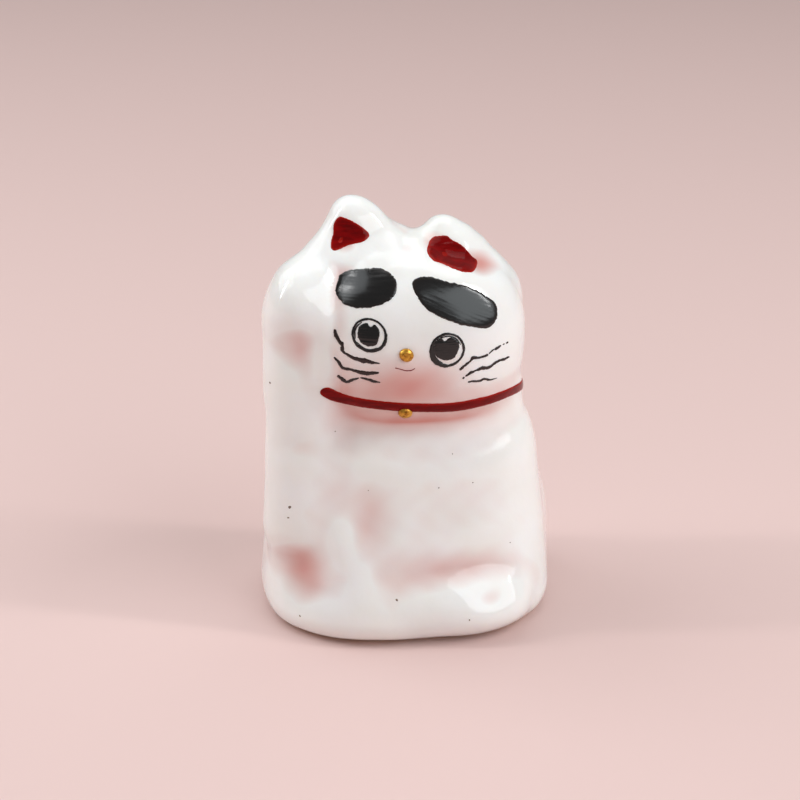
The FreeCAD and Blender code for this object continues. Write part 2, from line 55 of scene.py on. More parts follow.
def oval_column(x, y, middle, half_width, half_depth, squareness):
    across = np.abs((x - middle) / half_width) + 1e-6
    deep = np.abs(y / half_depth) + 1e-6
    size = (across ** squareness + deep ** squareness) ** (1 / squareness)
    slope = size ** (1 - squareness) * np.hypot(
        across ** (squareness - 1) / half_width, deep ** (squareness - 1) / half_depth)
    return (size - 1) / slope


def egg(x, y, z, centre, radii):
    px, py, pz = (x - centre[0]) / radii[0], (y - centre[1]) / radii[1], (z - centre[2]) / radii[2]
    size = np.sqrt(px ** 2 + py ** 2 + pz ** 2) + 1e-9
    slope = np.sqrt((px / radii[0]) ** 2 + (py / radii[1]) ** 2 + (pz / radii[2]) ** 2) + 1e-9
    return size * (size - 1) / slope


def squared_egg(x, y, z, centre, radii, squareness, roundness):
    px, py, pz = [np.abs((value - mid) / radius) + 1e-6
                  for value, mid, radius in zip((x, y, z), centre, radii)]
    belt = (px ** squareness + py ** squareness) ** (1 / squareness)
    size = (belt ** roundness + pz ** roundness) ** (1 / roundness)
    lift = size ** (1 - roundness) * belt ** (roundness - squareness)
    slope = np.sqrt((lift * px ** (squareness - 1) / radii[0]) ** 2
                    + (lift * py ** (squareness - 1) / radii[1]) ** 2
                    + (size ** (1 - roundness) * pz ** (roundness - 1) / radii[2]) ** 2)
    return (size - 1) / slope


def limb(x, y, z, start, end, start_radius, end_radius):
    dx, dy, dz = end[0] - start[0], end[1] - start[1], end[2] - start[2]
    run = dx * dx + dy * dy + dz * dz
    along = np.clip(((x - start[0]) * dx + (y - start[1]) * dy + (z - start[2]) * dz) / run, 0, 1)
    gap = np.sqrt((x - start[0] - along * dx) ** 2 + (y - start[1] - along * dy) ** 2
                  + (z - start[2] - along * dz) ** 2)
    return gap - (start_radius + (end_radius - start_radius) * along)


# thumb marks and swells: centre, reach along each axis, and how far the skin is pushed in
thumb_marks = [
    ((-21.0, -13.0, 53.8), (3.8, 5.0, 4.2), 1.8),     # under the curled paw
    ((-15.6, -12.0, 60.0), (2.4, 4.0, 5.0), -0.8),    # web between the paw and the brow
    ((-15.9, -12.5, 50.5), (2.4, 4.0, 6.0), -0.8),    # web between the arm and the cheek
    ((-21.4, -13.0, 35.0), (4.5, 5.0, 2.2), 0.35),    # elbow
    ((-20.2, -13.8, 11.4), (5.2, 5.5, 5.2), 2.1),     # above the right foot
    ((-8.6, -17.0, 22.6), (4.2, 5.0, 6.8), 0.8),      # inside of the right foreleg
    ((-13.7, -17.0, 19.5), (2.4, 4.0, 4.0), -0.5),    # foreleg ridge, upper part
    ((-10.4, -19.0, 12.0), (3.0, 4.0, 4.0), -0.5),    # foreleg ridge, lower part
    ((4.5, -19.5, 13.9), (11.5, 5.0, 3.2), 0.7),      # crease over the feet
    ((12.2, -20.8, 8.0), (3.2, 4.0, 1.8), 0.6),       # thumb mark on the left foot
    ((-1.0, -16.0, 39.2), (12.5, 5.0, 2.2), 0.75),    # groove under the collar
    ((20.5, -4.0, 42.0), (4.0, 8.0, 4.0), -0.7),      # fullness of the left shoulder
    ((-0.8, -1.8, 69.6), (2.6, 2.6, 1.8), -0.4),      # saddle between the ears
    ((-15.2, -9.0, 65.0), (2.4, 3.0, 3.0), -0.6),     # web up to the right ear
    ((-8.4, -7.2, 67.4), (4.5, 3.0, 2.4), -0.9),      # brow run up to the right ear
    ((-6.0, -5.8, 69.0), (3.4, 2.6, 2.0), -0.7),      # and to its inner rim
    ((-11.4, -5.2, 70.6), (2.3, 3.0, 2.4), 1.1),      # right ear
    ((6.5, -7.5, 67.4), (3.0, 4.0, 2.0), 1.4),        # left ear, inner end
    ((11.8, -8.0, 65.6), (3.2, 4.0, 1.9), 1.2),       # left ear, middle
    ((14.0, -6.0, 64.8), (2.6, 3.4, 1.8), 0.35),      # left ear, outer end
]


# the seated body is a rounded-square column that narrows upwards to the neck
neck_across, neck_back = -0.3, 0.75
flare_height, chest_height = 39.0, 41.0
base_half_width, neck_half_width = 26.2, 22.3
base_half_depth, neck_half_depth = 21.2, 15.3
foot_rounding, foot_rounding_height = 3.0, 4.6
glaze_level = 0.35
hand_unevenness = 0.06

# rolls of clay: start, end, radius at each, and how softly each is worked into the rest
ear_rolls = [
    ((-8.6, 0.5, 64.0), (-10.2, 0.5, 73.8), 6.8, 1.5, 3.0),      # right ear
    ((-7.8, 0.5, 71.6), (-0.1, 0.5, 63.7), 3.6, 3.6, 4.2),       # its ridge, down to the crown
    ((-9.8, -0.5, 70.1), (-16.7, -3.0, 61.5), 4.2, 5.4, 3.0),    # its slope, down to the raised arm
    ((6.2, 0.5, 69.0), (7.9, 0.2, 65.1), 2.8, 5.6, 1.5),         # folded left ear
    ((7.9, 0.2, 65.1), (15.3, 0.0, 58.6), 5.6, 4.5, 3.0),        # its fall to the side of the head
    ((-6.2, -1.2, 72.0), (-3.0, -4.2, 67.8), 1.8, 1.8, 2.0),     # inner rim of the right ear
    ((-3.0, -4.2, 67.8), (-2.6, -9.8, 65.3), 1.8, 1.3, 2.0),     # and on to the brow
    ((3.0, -0.9, 68.4), (0.5, -4.6, 67.4), 1.4, 1.4, 2.0),       # inner rim of the left ear
    ((0.5, -4.6, 67.4), (0.8, -10.4, 65.0), 1.4, 1.2, 2.0),      # and on to the brow
]
forearm = ((-20.0, -7.0, 19.0), (-19.0, -6.0, 46.0), 6.2, 6.2, 5.0)
wrist = ((-19.0, -4.0, 44.0), (-18.8, -3.0, 56.0), 6.0, 6.0, 3.0)
tail = ((2.0, 17.6, 7.0), (6.0, 18.2, 16.0), 3.6, 3.0, 3.0)

# pats of clay: centre, radius along each axis, and the softness of the join
curled_paw = ((-19.6, -6.0, 56.5), (5.7, 7.6, 9.9), 3.5)
haunches_and_feet = [
    ((-15.6, 6.5, 13.2), (7.9, 12.0, 12.5), 4.0),     # right haunch
    ((18.2, 6.5, 12.0), (8.5, 12.0, 14.7), 4.0),      # left haunch
    ((-7.1, -13.8, 4.0), (11.0, 6.8, 5.5), 5.0),      # right front foot
    ((8.2, -16.9, 5.5), (10.5, 6.0, 5.0), 5.0),       # left front foot
]


def clay_form(x, y, z):
    """Distance from the clay's skin in millimetres, negative inside the clay."""
    x, y = x - neck_across, y - neck_back

    def add_roll(skin, roll):
        start, end, start_radius, end_radius, softness = roll
        return soft_join(skin, limb(x, y, z, start, end, start_radius, end_radius), softness)

    def add_pat(skin, pat):
        centre, radii, softness = pat
        return soft_join(skin, egg(x, y, z, centre, radii), softness)

    rise = np.clip(z / flare_height, 0, 1)
    rise = rise * rise * (3 - 2 * rise)
    half_width = base_half_width + (neck_half_width - base_half_width) * rise
    half_depth = base_half_depth + (neck_half_depth - base_half_depth) * rise
    skin = oval_column(x, y, neck_across + rise, half_width, half_depth, 2.6)
    skin = soft_trim(skin, z - chest_height, 12.0)
    skin = soft_join(skin, squared_egg(x, y, z, (1.35, -1.0, 52.1), (19.15, 16.8, 17.1), 2.6, 2.3), 6.5)
    for roll in ear_rolls + [forearm]:
        skin = add_roll(skin, roll)
    skin = add_pat(skin, curled_paw)
    skin = add_roll(skin, wrist)
    for pat in haunches_and_feet:
        skin = add_pat(skin, pat)
    skin = add_roll(skin, tail)
    for centre, reach, depth in thumb_marks:
        away = sum(((value - mid) / size) ** 2 for value, mid, size in zip((x, y, z), centre, reach))
        skin = skin + depth * np.exp(-away)
    # the rim under the foot is rounded over by the sponge
    rim = np.clip(z / foot_rounding_height, 0, 1)
    skin = skin + foot_rounding * (1 - np.sqrt(np.maximum(1 - (1 - rim) ** 2, 0)))
    # slow unevenness left by hand pressing
    hand = (np.sin(x / 3.1 + 1.3 * np.sin(z / 5.3)) * np.sin(z / 3.7 + 0.8 * np.sin(y / 4.1))
            + 0.7 * np.sin(y / 2.6 + z / 6.1) * np.sin(x / 4.9 + 2.0)
            + 0.2 * np.sin(x / 0.9 + np.sin(z / 1.7)) * np.sin(z / 1.1 + y / 1.4))
    # the masses are set out to the glazed skin, and the clay lies under the glaze
    return skin + hand_unevenness * hand + glaze_level


def start_material(name, roughness):
    """A node material, and the shader that it ends in."""
    material = bpy.data.materials.new(name)
    material.use_nodes = True
    shader = material.node_tree.nodes["Principled BSDF"]
    shader.inputs["Roughness"].default_value = roughness
    return material, shader


def clouds(material, scale, detail=2.0, stretch=None):
    """Fine random mottling fixed to the piece, as a value for each point."""
    nodes, links = material.node_tree.nodes, material.node_tree.links
    place = nodes.new("ShaderNodeTexCoord").outputs["Object"]
    if stretch:
        turn = nodes.new("ShaderNodeMapping")
        turn.inputs["Scale"].default_value = stretch
        links.new(place, turn.inputs["Vector"])
        place = turn.outputs["Vector"]
    mottle = nodes.new("ShaderNodeTexNoise")
    mottle.inputs["Scale"].default_value = scale
    mottle.inputs["Detail"].default_value = detail
    links.new(place, mottle.inputs["Vector"])
    return mottle.outputs["Fac"]


def toned(material, source, low, high, low_colour, high_colour):
    """A run of colour from one value of the source to another."""
    ramp = material.node_tree.nodes.new("ShaderNodeValToRGB")
    for stop, position, colour in zip(ramp.color_ramp.elements, (low, high), (low_colour, high_colour)):
        stop.position = position
        stop.color = colour
    material.node_tree.links.new(source, ramp.inputs["Fac"])
    return ramp.outputs["Color"]


def ranged(material, source, low, high):
    """A plain number between two limits, from a value between 0 and 1."""
    scaled = material.node_tree.nodes.new("ShaderNodeMapRange")
    scaled.inputs["To Min"].default_value = low
    scaled.inputs["To Max"].default_value = high
    material.node_tree.links.new(source, scaled.inputs["Value"])
    return scaled.outputs["Result"]


def raised(material, source, strength, depth, under=None):
    """A fine relief in the shading, laid over another one where it is given."""
    bump = material.node_tree.nodes.new("ShaderNodeBump")
    bump.inputs["Strength"].default_value = strength
    bump.inputs["Distance"].default_value = depth
    material.node_tree.links.new(source, bump.inputs["Height"])
    if under:
        material.node_tree.links.new(under, bump.inputs["Normal"])
    return bump.outputs["Normal"]


def clay_biscuit():
    """Unglazed fired earthenware: matt, warm buff, with fine grit and an orange kiln flash."""
    material, shader = start_material("biscuit clay", 0.82)
    shader.inputs["Specular IOR Level"].default_value = 0.3
    links = material.node_tree.links
    flash = toned(material, clouds(material, 130, 3), 0.3, 0.75, (0.62, 0.40, 0.24, 1), (0.74, 0.60, 0.45, 1))
    links.new(flash, shader.inputs["Base Color"])
    links.new(raised(material, clouds(material, 1900, 5), 0.5, 0.00012), shader.inputs["Normal"])
    return material


biscuit = clay_biscuit()
for half in ("clay_front_half", "clay_back_half"):
    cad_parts[half].data.materials.clear()
    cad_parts[half].data.materials.append(biscuit)

# --- Base slab --------------------------------------------------------------------------
# A flat sheet of the same clay luted under the two halves, sponged round at its edge, with a
# small vent hole for the air inside. Its underside and lowest edge stay bare of glaze.

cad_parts["base_slab"].data.materials.clear()
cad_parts["base_slab"].data.materials.append(biscuit)

# --- Glaze coat -------------------------------------------------------------------------
# A thick white glass glaze, dipped and fired, covers the clay down to a line wiped clean just
# above the table. Pink is painted into it as shade and reflected red light: in the hollows,
# on the undersides of the face and paw, and under the nose. The ridges stay white.

MM = 0.001
crown = 52.0          # rings are level up to here, and fan over the head above it
wiped_line = 1.0      # the glaze is sponged off below this height
inner_level = -0.9    # the hidden inner face of the coat, inside the clay


def ray_radius(origin_z, direction, level):
    """How far along each ray from the figure's axis the skin at this level lies."""
    inner, outer = np.full(len(direction), 1.0), np.full(len(direction), 40.0)
    for _ in range(19):
        middle = (inner + outer) / 2
        inside = clay_form(direction[:, 0] * middle, direction[:, 1] * middle,
                           origin_z + direction[:, 2] * middle) < level
        inner, outer = np.where(inside, middle, inner), np.where(inside, outer, middle)
    return (inner + outer) / 2


def skin_normal(points):
    step = 0.15
    slope = np.stack([clay_form(*(points + shift).T) - clay_form(*(points - shift).T)
                      for shift in np.eye(3) * step], axis=1)
    return slope / np.linalg.norm(slope, axis=1)[:, None]


def ring_points(height, elevation, level, around):
    # closer together round the front, where the modelling is
    turn = np.linspace(0, 2 * math.pi, around, endpoint=False)
    turn = turn + 0.28 * np.sin(turn) + math.pi / 2
    direction = np.stack([np.cos(elevation) * np.cos(turn), np.cos(elevation) * np.sin(turn),
                          np.full(around, math.sin(elevation))], axis=1)
    radius = ray_radius(height, direction, level)
    return direction * radius[:, None] + np.array([0, 0, height])


def mesh_piece(name, points, faces, material):
    mesh = bpy.data.meshes.new(name)
    mesh.from_pydata((np.asarray(points) * MM).tolist(), [], faces)
    mesh.validate()
    mesh.update()
    mesh.materials.append(material)
    piece = bpy.data.objects.new(name, mesh)
    bpy.context.scene.collection.objects.link(piece)
    mesh.shade_smooth()
    return piece


def ring_faces(rings, around):
    """Quads that join a stack of rings, each ring closed on itself."""
    faces = []
    for row in range(rings - 1):
        for step in range(around):
            after = (step + 1) % around
            faces.append((row * around + step, row * around + after,
                          (row + 1) * around + after, (row + 1) * around + step))
    return faces


def painted_pink_shade(points):
    """Painted pink shade, 0 on ridges and flats to 1 in a hollow, by how the skin bends over a few
    millimetres.
    """
    bend = np.zeros(len(points))
    for reach, share in ((2.2, 0.45), (4.0, 0.55)):
        round_about = sum(clay_form(*(points + shift).T) for shift in
                          np.concatenate([np.eye(3), -np.eye(3)]) * reach)
        bend += share * (round_about - 6 * clay_form(*points.T)) / reach ** 2
    # and painted pink reflected light on the undersides of the face and paw, the surfaces that face down
    under = np.clip(-skin_normal(points)[:, 2], 0, 0.4) / 0.4
    under *= under * np.clip((points[:, 2] - 8) / 10, 0, 1)
    x, y, z = points.T
    # a painted pink shade under the nose, over the muzzle and chin
    muzzle = np.exp(-((x + 3.5) / 9.5) ** 2 - ((z - 48.3) / 4.0) ** 2) * (y < -6)
    return np.clip((0.10 - bend) / 0.50 + 0.45 * under + 0.72 * muzzle, 0, 1)


def overlaid(material, factor, under, over):
    """One colour over another, as far as the factor says; the upper one is the same all over."""
    blend = material.node_tree.nodes.new("ShaderNodeMix")
    blend.data_type = "RGBA"
    blend.inputs["B"].default_value = over
    material.node_tree.links.new(factor, blend.inputs["Factor"])
    material.node_tree.links.new(under, blend.inputs["A"])
    return blend.outputs["Result"]


def painted_value(material, name):
    """A value that the mesh holds at each of its points."""
    value = material.node_tree.nodes.new("ShaderNodeAttribute")
    value.attribute_name = name
    return value.outputs["Fac"]


def white_glaze():
    """White glass over clay: painted pink shade in hollows and undersides, a slow wave and a fine orange
    peel.
    """
    material, shader = start_material("white glaze", 0.1)
    shader.inputs["IOR"].default_value = 1.52
    shader.inputs["Coat Weight"].default_value = 0.2
    shader.inputs["Coat Roughness"].default_value = 0.03
    shader.inputs["Subsurface Weight"].default_value = 0.12
    shader.inputs["Subsurface Scale"].default_value = 0.0012
    shader.inputs["Subsurface Radius"].default_value = (1.0, 0.7, 0.5)
    links = material.node_tree.links
    white = toned(material, clouds(material, 95, 3), 0.35, 0.7,
                  (0.88, 0.865, 0.83, 1), (0.90, 0.895, 0.885, 1))
    # the pink laid over the white here is painted shade and reflected red light, strongest where the mesh
    # value is high
    depth = toned(material, painted_value(material, "painted_shade"), 0.10, 1.0, (0, 0, 0, 1), (1, 1, 1, 1))
    links.new(overlaid(material, depth, white, (0.66, 0.25, 0.21, 1)), shader.inputs["Base Color"])
    links.new(ranged(material, clouds(material, 420, 4), 0.05, 0.13), shader.inputs["Roughness"])
    wave = raised(material, clouds(material, 330, 2), 0.25, 0.00022)
    peel = raised(material, clouds(material, 1500, 3), 0.22, 0.00004, wave)
    links.new(peel, shader.inputs["Normal"])
    return material


def glaze_skin():
    """A shell: out over the figure and back down inside the clay, shut at the wiped line."""
    around = 300
    # a rounded lip where the coat starts
    outside = [ring_points(wiped_line, 0.0, -0.10, around), ring_points(wiped_line, 0.0, 0.12, around),
               ring_points(wiped_line + 0.12, 0.0, 0.27, around)]
    outside += [ring_points(height, 0.0, glaze_level, around)
                for height in np.arange(wiped_line + 0.35, crown - 0.1, 0.345)]
    outside += [ring_points(crown, elevation, glaze_level, around)
                for elevation in np.linspace(0, math.pi / 2, 116)[:-1]]
    inside = [ring_points(crown, elevation, inner_level, around)
              for elevation in np.linspace(math.pi / 2, 0, 12)[1:]]
    inside += [ring_points(height, 0.0, inner_level, around)
               for height in np.linspace(crown - 4, wiped_line + 0.6, 12)]
    # the wiped line wanders a little where the sponge lifted
    turn = np.linspace(0, 2 * math.pi, around, endpoint=False)
    wander = 0.12 * np.sin(3 * turn + 1) + 0.07 * np.sin(8 * turn)
    for index in range(8):
        outside[index][:, 2] += wander * (1 - index / 8)
    rings = outside + inside
    top = ring_points(crown, math.pi / 2, glaze_level, 1)
    under = ring_points(crown, math.pi / 2, inner_level, 1)
    points = np.concatenate(rings + [top, under])
    out_faces = ring_faces(len(outside), around)
    start = len(outside) * around
    in_faces = [tuple(start + corner for corner in face) for face in ring_faces(len(inside), around)]
    crown_row, lip_row = start - around, start + (len(inside) - 1) * around
    faces = out_faces + in_faces
    for step in range(around):
        after = (step + 1) % around
        faces.append((crown_row + step, crown_row + after, len(points) - 2))
        faces.append((start + after, start + step, len(points) - 1))
        faces.append((lip_row + step, lip_row + after, after, step))
    piece = mesh_piece("glaze_skin", points, faces, white_glaze())
    # each point holds how much painted pink shade the glaze shows there
    painted_shade = piece.data.attributes.new("painted_shade", "FLOAT", "POINT")
    painted_shade.data.foreach_set("value", painted_pink_shade(points).astype(np.float32))
    return piece


glaze = glaze_skin()
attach(glaze, "root")
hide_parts("glaze_coat")

# --- Iron specks ------------------------------------------------------------------------
# Grains of iron in the clay that burnt up through the glaze in the kiln: rusty dots a few tenths
# of a millimetre across, a little proud of the glaze, the largest with a pinhole in its middle.


def front_of(across_up, lift=0.0):
    """The points of the glaze that lie straight behind these points of the front view."""
    across_up = np.asarray(across_up, float).reshape(-1, 2)
    x, z = across_up[:, 0], across_up[:, 1]
    y = np.full(len(x), -34.0)
    for _ in range(140):
        y = y + np.clip((clay_form(x, y, z) - glaze_level) * 0.7, -0.5, 1.5)
    points = np.stack([x, y, z], axis=1)
    return points + skin_normal(points) * np.asarray(lift).reshape(-1, 1)


def rust_speck():
    material, shader = start_material("iron speck", 0.3)
    rust = toned(material, clouds(material, 6000), 0.4, 0.65, (0.05, 0.025, 0.015, 1), (0.30, 0.19, 0.12, 1))
    material.node_tree.links.new(rust, shader.inputs["Base Color"])
    return material


def iron_specks(places):
    """Small blisters, each closed underneath inside the glaze."""
    around, points, faces = 12, [], []
    for number, (across, up, size) in enumerate(places):
        first = len(points) * around
        pit = 0.05 if size > 0.2 else 0.0
        turn = np.linspace(0, 2 * math.pi, around, endpoint=False)
        uneven = 1 + 0.18 * np.sin(2 * turn + number) + 0.1 * np.sin(3 * turn + 2 * number)
        rings = [(0.10, 0.035 - pit), (0.45, 0.05), (0.8, 0.03), (1.0, -0.01), (0.7, -0.06), (0.10, -0.07)]
        for wide, lift in rings:
            radius = size * wide * uneven
            ring = np.column_stack([across + radius * np.cos(turn), up + radius * np.sin(turn)])
            points.append(front_of(ring, np.full(around, lift)))
        last = first + (len(rings) - 1) * around
        faces += [tuple(first + corner for corner in face)[::-1] for face in ring_faces(len(rings), around)]
        faces += [tuple(range(first, first + around)), tuple(range(last, last + around))[::-1]]
    return mesh_piece("iron_specks", np.concatenate(points), faces, rust_speck())


# across, up and radius of each
specks = iron_specks([
    (-22.5, 24.3, 0.26), (-22.8, 22.3, 0.17), (-14.3, 37.9, 0.11), (-4.8, 9.0, 0.20), (-21.3, 4.2, 0.15),
    (7.7, 5.4, 0.15), (3.2, 28.0, 0.12), (9.3, 28.3, 0.11), (-9.0, 27.8, 0.10), (16.1, 16.4, 0.10),
    (5.8, 33.6, 0.10), (-25.1, 46.1, 0.16)])
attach(specks, "root")

# --- Red enamel: ear insides and collar -------------------------------------------------
# Deep red overglaze enamel, laid on thick with a loaded brush and fired again. It stands a
# little proud of the glaze, rounds over at its edges and glows orange where it is thin.


def flowing(points, per_run=10, closed=False):
    """A smooth line through a few points of any dimension."""
    points = np.asarray(points, float)
    count = len(points)
    line = []
    for run in range(count if closed else count - 1):
        if closed:
            before, start, end, after = [points[(run + shift) % count] for shift in (-1, 0, 1, 2)]
        else:
            before, start = points[max(run - 1, 0)], points[run]
            end, after = points[run + 1], points[min(run + 2, count - 1)]
        for t in np.arange(per_run) / per_run:
            line.append(0.5 * (2 * start + (end - before) * t
                               + (2 * before - 5 * start + 4 * end - after) * t ** 2
                               + (3 * start - before - 3 * end + after) * t ** 3))
    if not closed:
        line.append(points[-1])
    return np.array(line)


def unevenness(line, size, amount, seed):
    """A gentle random value in -amount..amount for each point of a line."""
    return np.array([amount * noise.noise(Vector((point[0] / size, point[1] / size, seed)))
                     for point in line])


def painted_patch(name, outline, height, material, seed, ragged=0.12, streak=0.03, lean=0.0):
    """A filled brush patch: domed a little, with a soft shoulder and a slightly ragged edge."""
    edge = flowing(outline, per_run=14, closed=True)
    middle = edge.mean(axis=0)
    outward = edge - middle
    outward /= np.linalg.norm(outward, axis=1)[:, None]
    edge = edge + outward * (unevenness(edge, 0.9, ragged, seed)
                             + unevenness(edge, 0.3, ragged * 0.6, seed + 4)
                             + unevenness(edge, 0.13, ragged * 0.5, seed + 8))[:, None]
    around, rings = len(edge), 34
    across_up, lift = [], []
    for ring in range(rings):
        share = math.sin((ring + 1) / rings * math.pi / 2)
        flat = middle + (edge - middle) * share
        along = np.array([math.cos(lean), math.sin(lean)])
        run, side = flat @ along, flat @ np.array([-along[1], along[0]])
        brush = np.array([noise.noise(Vector((a / 5.0, b / 0.35, seed)))
                          + 0.8 * share ** 3 * noise.noise(Vector((a / 0.5, b / 0.4, seed + 3)))
                          for a, b in zip(run, side)])
        across_up.append(flat)
        lift.append((height + streak * brush) * (1 - share ** 14) ** 0.5)
    across_up.append(edge)
    lift.append(np.full(around, -0.12))
    across_up = np.concatenate(across_up + [middle[None], middle[None]])
    lift = np.concatenate(lift + [[height], [-0.2]])
    faces = [(b, a, d, c) for a, b, c, d in ring_faces(rings + 1, around)]
    faces += [(step, (step + 1) % around, len(lift) - 2) for step in range(around)]
    last = rings * around
    faces += [(last + (step + 1) % around, last + step, len(lift) - 1) for step in range(around)]
    piece = mesh_piece(name, front_of(across_up, lift), faces, material)
    thin = piece.data.attributes.new("thin", "FLOAT", "POINT")
    shares = np.repeat(np.sin(np.arange(1, rings + 1) / rings * math.pi / 2) ** 16, around)
    thin.data.foreach_set("value", np.concatenate([shares, np.ones(around), [0, 0]]).astype(np.float32))
    return piece


BLUNT = 0.9    # how far a stroke's rounded end runs on, as a share of its half width
WISP = 0.03    # the least half width of a stroke


def stroke_rows(line, half_width, height, seed, ragged, closed, sides):
    """Rings of (across, up, lift) round one pull of the brush, and whether it runs back to its start."""
    path = flowing(np.column_stack([line, half_width]), per_run=12, closed=closed)
    centre, width = path[:, :2], np.maximum(path[:, 2], WISP)
    run = np.roll(centre, -1, 0) - np.roll(centre, 1, 0) if closed else np.gradient(centre, axis=0)
    run /= np.linalg.norm(run, axis=1)[:, None]
    sideways = np.column_stack([-run[:, 1], run[:, 0]])
    left = width * (1 + unevenness(centre, 0.7, ragged * 1.5, seed)
                    + unevenness(centre, 0.22, ragged, seed + 2))
    right = width * (1 + unevenness(centre, 0.6, ragged * 1.5, seed + 5)
                     + unevenness(centre, 0.2, ragged, seed + 7))
    rows = [(centre[i], sideways[i], left[i], right[i]) for i in range(len(centre))]
    if not closed:
        caps = [(1.0, 0.04), (0.96, 0.3), (0.85, 0.55), (0.62, 0.8), (0.32, 0.95)]
        head = [(centre[0] - run[0] * width[0] * BLUNT * back, sideways[0], left[0] * wide, right[0] * wide)
                for back, wide in caps]
        tip = run[-1] * width[-1] * BLUNT
        tail_end = [(centre[-1] + tip * back, sideways[-1], left[-1] * wide, right[-1] * wide)
                    for back, wide in reversed(caps)]
        rows = head + rows + tail_end
    made = []
    for middle, side, wide_left, wide_right in rows:
        thick = height * min(1.0, (wide_left + wide_right) / (2 * max(np.mean(width), 0.05)) + 0.1)
        for step in range(sides):
            turn = 2 * math.pi * step / sides
            reach = wide_left if math.cos(turn) > 0 else wide_right
            lift = thick * math.sin(turn) ** 0.6 if math.sin(turn) > 1e-6 else -0.08
            made.append((*(middle + side * reach * math.cos(turn)), lift, math.cos(turn) ** 6))
    return np.array(made), len(rows)


def painted_strokes(name, strokes, height, material, seed, ragged=0.10, closed=False, sides=12,
                    lay=front_of):
    """Pulls of the brush: flattened beads of enamel along lines, lying on the glaze."""
    points, faces, thinness = [], [], []
    for number, (line, half_width) in enumerate(strokes):
        ring = closed and number == 0
        made, rows = stroke_rows(line, half_width, height, seed + 0.37 * number, ragged, ring, sides)
        first = sum(len(part) for part in points)
        shape = ring_faces(rows, sides)
        last = (rows - 1) * sides
        if ring:
            shape += [(last + step, last + (step + 1) % sides, (step + 1) % sides, step)
                      for step in range(sides)]
        else:
            shape += [tuple(range(sides))[::-1], tuple(range(last, last + sides))]
        faces += [tuple(first + corner for corner in face) for face in shape]
        points.append(lay(made[:, :2], made[:, 2]))
        thinness.append(made[:, 3])
    piece = mesh_piece(name, np.concatenate(points), faces, material)
    thin = piece.data.attributes.new("thin", "FLOAT", "POINT")
    thin.data.foreach_set("value", np.concatenate(thinness).astype(np.float32))
    return piece


def enamel(name, thick, thin, edge, roughness, sheen=0.5):
    """A glossy overglaze enamel: full colour where thick, lighter in streaks and round its edge."""
    material, shader = start_material(name, roughness)
    shader.inputs["IOR"].default_value = 1.5
    shader.inputs["Specular IOR Level"].default_value = sheen
    links = material.node_tree.links
    streaks = clouds(material, 1.0, 4, stretch=(260, 700, 1500))
    tone = toned(material, streaks, 0.38, 0.82, thick, thin)
    links.new(overlaid(material, painted_value(material, "thin"), tone, edge), shader.inputs["Base Color"])
    links.new(ranged(material, streaks, roughness, roughness + 0.06), shader.inputs["Roughness"])
    links.new(raised(material, streaks, 0.2, 0.00005), shader.inputs["Normal"])
    return material


red_enamel = enamel("red enamel", thick=(0.13, 0.0006, 0.001, 1), thin=(0.26, 0.0015, 0.002, 1),
                    edge=(0.42, 0.012, 0.004, 1), roughness=0.06, sheen=0.12)

ear_right = painted_patch(
    "ear_right_enamel",
    [(-12.2, 73.5), (-11.2, 73.4), (-9.6, 72.8), (-7.9, 71.6), (-7.3, 70.7), (-8.3, 69.9), (-10.4, 69.3),
     (-13.0, 68.5), (-13.9, 68.8), (-13.7, 69.9), (-13.3, 70.9), (-13.1, 72.3)],
    0.16, red_enamel, seed=1.0, ragged=0.06)
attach(ear_right, "root")
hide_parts("ear_right_red")

ear_left = painted_patch(
    "ear_left_enamel",
    [(2.3, 68.1), (3.0, 68.9), (4.0, 69.4), (5.3, 69.6), (6.3, 69.6), (7.0, 69.1), (8.0, 68.6), (8.9, 68.0),
     (9.7, 67.2), (10.4, 66.4), (11.1, 65.8), (11.0, 65.3), (9.9, 65.1), (8.3, 65.4), (6.6, 65.9),
     (4.6, 66.6),
     (3.0, 67.2)],
    0.16, red_enamel, seed=2.0, ragged=0.07)
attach(ear_left, "root")
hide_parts("ear_left_red")

SWEEP = 24.0                  # distances round the neck are measured on a circle of this radius
neck_axis_x, neck_axis_y = 1.0, 8.0


def round_neck(arc_up, lift):
    """The points of the glaze out from an axis behind the neck, by distance round it and height."""
    arc_up = np.asarray(arc_up, float).reshape(-1, 2)
    turn, height = arc_up[:, 0] / SWEEP, arc_up[:, 1]
    inner, outer = np.full(len(turn), 8.0), np.full(len(turn), 32.0)
    for _ in range(24):
        middle = (inner + outer) / 2
        inside = clay_form(neck_axis_x + middle * np.sin(turn), neck_axis_y - middle * np.cos(turn),
                           height) < glaze_level
        inner, outer = np.where(inside, middle, inner), np.where(inside, outer, middle)
    points = np.stack([neck_axis_x + inner * np.sin(turn), neck_axis_y - inner * np.cos(turn), height],
                      axis=1)
    return points + skin_normal(points) * np.asarray(lift).reshape(-1, 1)


collar = painted_strokes(
    "collar_enamel",
    [([(-16.5, 45.6), (-16.0, 45.1), (-15.3, 44.6), (-14.2, 44.2), (-12.3, 44.0), (-8.0, 43.7), (-3.8, 43.3),
       (0.6, 42.95), (5.1, 42.75), (9.7, 43.0), (14.4, 43.1), (17.7, 42.9), (21.5, 42.4), (25.8, 41.6)],
      [0.96, 1.04, 1.08, 1.04, 0.98, 0.92, 0.92, 0.94, 1.00, 1.04, 0.98, 0.92, 0.88, 0.86])],
    0.22, red_enamel, seed=3.0, ragged=0.035, sides=22, lay=round_neck)
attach(collar, "root")
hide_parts("collar_band")

# --- Black enamel: brow patches and eyes ------------------------------------------------
# Black overglaze enamel. The brow patches are filled with a few side strokes that leave fine
# ridges; each eye is a thin ring drawn in one go with a round pupil set inside it.

black_enamel = enamel("black enamel", thick=(0.0015, 0.0012, 0.0015, 1), thin=(0.004, 0.003, 0.003, 1),
                      edge=(0.012, 0.006, 0.004, 1), roughness=0.17, sheen=0.6)

